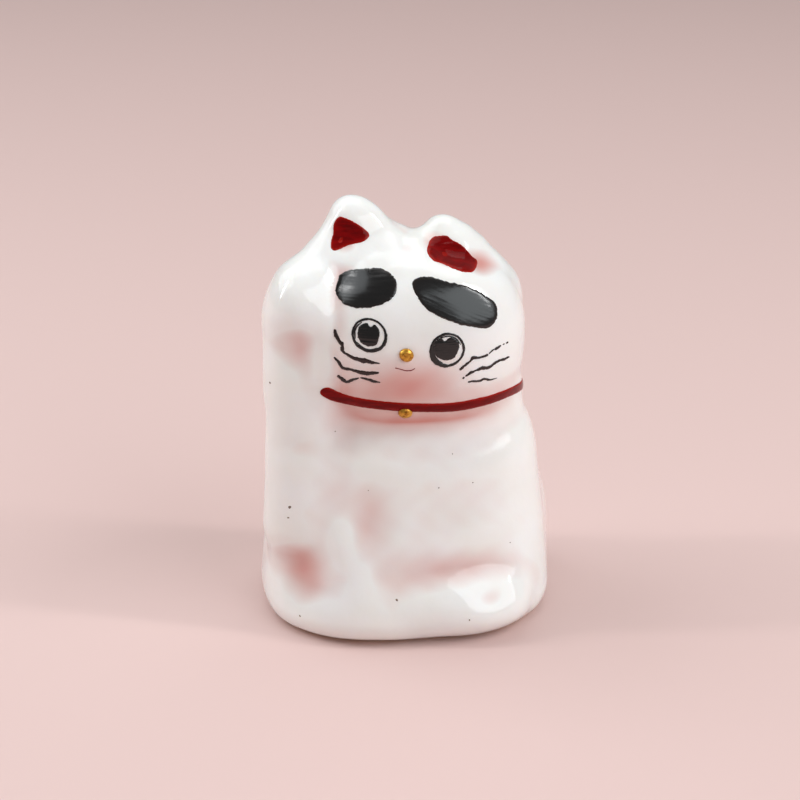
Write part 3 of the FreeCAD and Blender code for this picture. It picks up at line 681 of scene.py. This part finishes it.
brows = {
    "brow_patch_right": ([(-13.6, 63.4), (-13.7, 62.4), (-13.2, 61.5), (-12.3, 61.0), (-10.8, 60.8),
                          (-9.2, 61.0), (-7.2, 61.4), (-5.5, 62.1), (-4.2, 63.1), (-3.7, 64.3), (-3.9, 65.3),
                          (-4.9, 66.1), (-6.4, 66.5), (-8.0, 66.4), (-9.8, 66.1), (-11.5, 65.6),
                          (-12.8, 64.9)], 0.1),
    "brow_patch_left": ([(-1.2, 64.3), (-0.9, 65.0), (0.0, 65.4), (1.4, 65.5), (3.2, 65.1), (6.1, 64.3),
                         (8.9, 63.4), (11.4, 61.9), (13.0, 60.5), (13.4, 58.8), (12.7, 57.5), (11.2, 56.9),
                         (9.4, 57.3), (6.6, 58.1), (4.1, 59.1), (2.1, 60.1), (0.5, 61.3),
                         (-0.5, 62.7)], -0.42),
}
for seed, (node, (outline, lean)) in enumerate(brows.items()):
    patch = painted_patch(f"{node}_enamel", outline, 0.15, black_enamel, seed=5.0 + seed, ragged=0.16,
                          streak=0.014, lean=lean)
    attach(patch, "root")
    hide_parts(node)


def arc(centre, radius, start, end, half_width):
    """Part of an eye ring from one clock angle to another, in degrees from the figure's left."""
    turns = np.radians(np.linspace(start, end, len(half_width)))
    line = [(centre[0] + radius * math.cos(turn), centre[1] + radius * math.sin(turn)) for turn in turns]
    return line, half_width


right_eye, left_eye = (-8.75, 56.65), (4.3, 53.9)
rings = {
    "right": [arc(right_eye, 2.70, 0, 315, [0.26, 0.20, 0.20, 0.17, 0.20, 0.24, 0.22, 0.34]),
              arc(right_eye, 2.38, 120, 196, [0.07, 0.13, 0.14, 0.08]),
              arc(right_eye, 2.42, 212, 300, [0.07, 0.15, 0.13, 0.15])],
    "left": [arc(left_eye, 2.82, 0, 315, [0.24, 0.20, 0.22, 0.28, 0.34, 0.42, 0.30, 0.22]),
             arc(left_eye, 2.42, 20, 150, [0.07, 0.13, 0.12, 0.16, 0.30]),
             arc(left_eye, 2.42, 160, 250, [0.22, 0.30, 0.24, 0.10])],
}
pupils = {
    "right": [(-7.1, 56.8), (-7.2, 57.8), (-7.9, 58.5), (-8.45, 58.15), (-9.2, 58.7), (-10.2, 58.1),
              (-10.7, 56.9), (-10.3, 55.5), (-9.0, 54.8), (-7.7, 55.2)],
    "left": [(6.3, 54.2), (6.1, 55.4), (5.2, 56.1), (4.4, 55.9), (3.9, 55.5), (3.2, 56.0), (2.3, 55.4),
             (2.0, 54.2), (2.5, 52.8), (4.0, 52.1), (5.5, 52.5)],
}
for seed, side in enumerate(("right", "left")):
    ring = painted_strokes(f"eye_ring_{side}_enamel", rings[side], 0.10, black_enamel, seed=9.0 + seed,
                           ragged=0.22, closed=True)
    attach(ring, "root")
    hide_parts(f"eye_ring_{side}")
    pupil = painted_patch(f"pupil_{side}_enamel", pupils[side], 0.13, black_enamel, seed=11.0 + seed)
    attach(pupil, "root")
    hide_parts(f"pupil_{side}")

# --- Whiskers and mouth -----------------------------------------------------------------
# Quick strokes of a fine pointed brush in dark brown enamel: thick where the brush lands or
# turns, broken where it lifts. The mouth is one thin dark red line.

brown_enamel = enamel("brown enamel", thick=(0.008, 0.002, 0.002, 1), thin=(0.025, 0.008, 0.006, 1),
                      edge=(0.06, 0.02, 0.012, 1), roughness=0.22)
brush_load = 1.12    # how much a full brush widens the strokes below

# each stroke is a line and its half width along it
whiskers = {
    "whisker_right_upper": [
        ([(-14.3, 56.8), (-14.1, 56.0), (-13.7, 55.2), (-13.3, 54.6)], [0.26, 0.34, 0.29, 0.32]),
        ([(-13.1, 54.9), (-13.1, 53.5), (-12.3, 52.9), (-10.7, 52.3), (-9.4, 52.2), (-8.4, 52.0),
          (-7.2, 51.9)], [0.18, 0.28, 0.25, 0.36, 0.39, 0.25, 0.10])],
    "whisker_right_middle": [
        ([(-14.4, 52.0), (-13.8, 51.4), (-13.4, 50.7), (-12.9, 50.3), (-11.7, 50.3), (-10.3, 50.0),
          (-8.9, 50.0), (-7.4, 50.2)], [0.17, 0.25, 0.31, 0.28, 0.25, 0.37, 0.39, 0.15])],
    "whisker_right_lower": [
        ([(-13.8, 48.7), (-13.1, 48.2), (-12.4, 47.8), (-11.6, 48.4), (-10.6, 48.9)],
         [0.25, 0.33, 0.23, 0.25, 0.11]),
        ([(-10.2, 49.0), (-8.8, 48.8), (-8.0, 48.5), (-7.1, 48.4)], [0.11, 0.25, 0.23, 0.09])],
    "whisker_left_upper": [
        ([(6.6, 50.3), (7.5, 51.0), (8.3, 51.6), (8.9, 52.1), (10.0, 52.0), (11.3, 52.2)],
         [0.25, 0.22, 0.18, 0.33, 0.25, 0.21]),
        ([(11.7, 52.4), (12.2, 52.8), (12.6, 53.0)], [0.09, 0.13, 0.10]),
        ([(12.9, 53.0), (13.4, 53.2), (13.8, 53.3)], [0.23, 0.25, 0.16]),
        ([(14.35, 53.4), (14.5, 53.45)], [0.10, 0.10]),
        ([(15.05, 53.5), (15.2, 53.55)], [0.15, 0.15])],
    "whisker_left_middle": [
        ([(7.1, 48.55), (7.2, 48.6)], [0.17, 0.17]),
        ([(7.6, 48.9), (8.5, 49.4), (9.3, 49.7), (10.1, 49.9), (10.7, 50.0), (11.7, 49.9), (12.7, 50.4),
          (13.5, 50.7), (14.6, 50.7), (15.5, 50.7)],
         [0.15, 0.26, 0.18, 0.30, 0.36, 0.30, 0.24, 0.26, 0.25, 0.18])],
    "whisker_left_lower": [
        ([(8.1, 47.7), (9.0, 47.7), (10.1, 47.6), (10.9, 47.8), (12.0, 47.4), (13.3, 47.4)],
         [0.14, 0.22, 0.18, 0.22, 0.16, 0.06])],
}
for seed, (node, strokes) in enumerate(whiskers.items()):
    strokes = [(line, [brush_load * wide for wide in widths]) for line, widths in strokes]
    whisker = painted_strokes(f"{node}_enamel", strokes, 0.09, brown_enamel, seed=14.0 + seed,
                              ragged=0.28, sides=10)
    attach(whisker, "root")
    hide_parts(node)

mouth_enamel = enamel("mouth enamel", thick=(0.16, 0.008, 0.012, 1), thin=(0.26, 0.02, 0.02, 1),
                      edge=(0.36, 0.05, 0.04, 1), roughness=0.2)
smile = ([(-4.5, 51.1), (-4.1, 51.0), (-2.8, 50.6), (-1.9, 50.6),
          (-1.3, 50.9)], [0.12, 0.10, 0.12, 0.11, 0.08])
mouth = painted_strokes("mouth_enamel", [smile], 0.06, mouth_enamel, seed=21.0, ragged=0.2, sides=8)
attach(mouth, "root")
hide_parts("mouth")

# --- Gold dots: nose and bell -----------------------------------------------------------
# Two raised beads of enamel, trailed on in one drop and touched with gold lustre, mottled
# light and dark. The bell hangs half over the collar.


def gold_lustre():
    material, shader = start_material("gold lustre", 0.3)
    shader.inputs["Metallic"].default_value = 0.7
    links = material.node_tree.links
    film = clouds(material, 1400, 4)
    tone = toned(material, film, 0.35, 0.62, (0.34, 0.13, 0.012, 1), (0.72, 0.37, 0.05, 1))
    links.new(tone, shader.inputs["Base Color"])
    links.new(ranged(material, film, 0.18, 0.42), shader.inputs["Roughness"])
    links.new(raised(material, film, 0.4, 0.00008), shader.inputs["Normal"])
    return material


def gold_bead(name, across_up, radius, rise, swirl, material):
    """A drop that has slumped into a dome, with the small curl left as the trailer lifted."""
    foot = front_of([across_up])[0]
    out = skin_normal(foot[None])[0]
    side = np.cross(out, [0, 0, 1])
    side /= np.linalg.norm(side)
    up = np.cross(side, out)
    around, rings = 40, 16
    points = []
    for ring in range(rings):
        share = ring / (rings - 1)
        tilt = share * math.pi * 0.62
        for step in range(around):
            turn = 2 * math.pi * step / around
            curl = swirl * math.exp(-((share - 0.30) / 0.10) ** 2) * (1 + math.cos(turn - 2.2)) / 2
            wide = radius * math.sin(tilt) * (1 + 0.04 * math.cos(2 * turn + 1))
            high = rise * (0.15 + 0.85 * math.cos(tilt)) + curl
            points.append(foot - side * wide * math.cos(turn) + up * wide * math.sin(turn) + out * high)
    points.append(foot - out * 0.5)
    faces = ring_faces(rings, around)
    faces += [((rings - 1) * around + step, (rings - 1) * around + (step + 1) % around, len(points) - 1)
              for step in range(around)]
    return mesh_piece(name, points, faces, material)


gold = gold_lustre()
for node, across_up in (("nose_bead", (-2.7, 53.4)), ("bell_bead", (-2.6, 42.1))):
    bead = gold_bead(f"{node}_gold", across_up, radius=1.20, rise=0.85, swirl=0.10, material=gold)
    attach(bead, "root")
    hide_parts(node)

# --- Table, light and camera ------------------------------------------------------------
# A plain pale table top under soft studio light: a broad box overhead and one to each side, a
# narrow strip each side for the long highlights, and a faint even room light.


def table_top():
    material, shader = start_material("pale table", 0.6)
    shader.inputs["Base Color"].default_value = (0.74, 0.54, 0.51, 1)
    mesh = bpy.data.meshes.new("table")
    mesh.from_pydata([(-1.5, -1.0, 0), (1.5, -1.0, 0), (1.5, 2.0, 0), (-1.5, 2.0, 0)], [], [(0, 1, 2, 3)])
    mesh.materials.append(material)
    table = bpy.data.objects.new("table", mesh)
    bpy.context.scene.collection.objects.link(table)
    return table


table_top()

world = bpy.data.worlds.new("room")
world.use_nodes = True
world.node_tree.nodes["Background"].inputs["Color"].default_value = (1.0, 0.98, 0.96, 1)
world.node_tree.nodes["Background"].inputs["Strength"].default_value = 0.29
bpy.context.scene.world = world


def soft_box(name, place, size, watts, colour=(1, 1, 1)):
    light = bpy.data.lights.new(name, "AREA")
    light.shape = "RECTANGLE"
    light.size, light.size_y = size
    light.energy = watts
    light.color = colour
    lamp = bpy.data.objects.new(name, light)
    lamp.location = place
    lamp.rotation_euler = (Vector((0, 0, 0.038)) - Vector(place)).to_track_quat("-Z", "Y").to_euler()
    bpy.context.scene.collection.objects.link(lamp)


soft_box("left_box", (-0.62, 0.22, 0.66), (0.80, 0.80), 3.6, (0.90, 0.97, 1.0))
soft_box("right_box", (0.58, -0.54, 0.56), (0.90, 0.80), 5.2, (0.90, 0.97, 1.0))
soft_box("overhead", (0.0, 0.30, 0.90), (0.9, 0.7), 2.0)
soft_box("left_strip", (-0.42, 0.03, 0.30), (0.03, 0.30), 0.5)
soft_box("right_strip", (0.42, -0.15, 0.42), (0.04, 0.36), 0.7)

camera = bpy.data.cameras.new("camera")
camera.sensor_width = 36
camera.lens = 95.8
camera.clip_start = 0.01
camera.clip_end = 10
azimuth, elevation, distance = math.radians(-8), math.radians(22), 0.380
aim = Vector((-0.0013, 0.00075, 0.0381))
away = Vector((math.sin(azimuth) * math.cos(elevation), -math.cos(azimuth) * math.cos(elevation),
               math.sin(elevation)))
viewer = bpy.data.objects.new("camera", camera)
viewer.location = aim + away * distance
viewer.rotation_euler = (-away).to_track_quat("-Z", "Y").to_euler()
bpy.context.scene.collection.objects.link(viewer)
bpy.context.scene.camera = viewer
bpy.context.scene.view_settings.view_transform = "Standard"
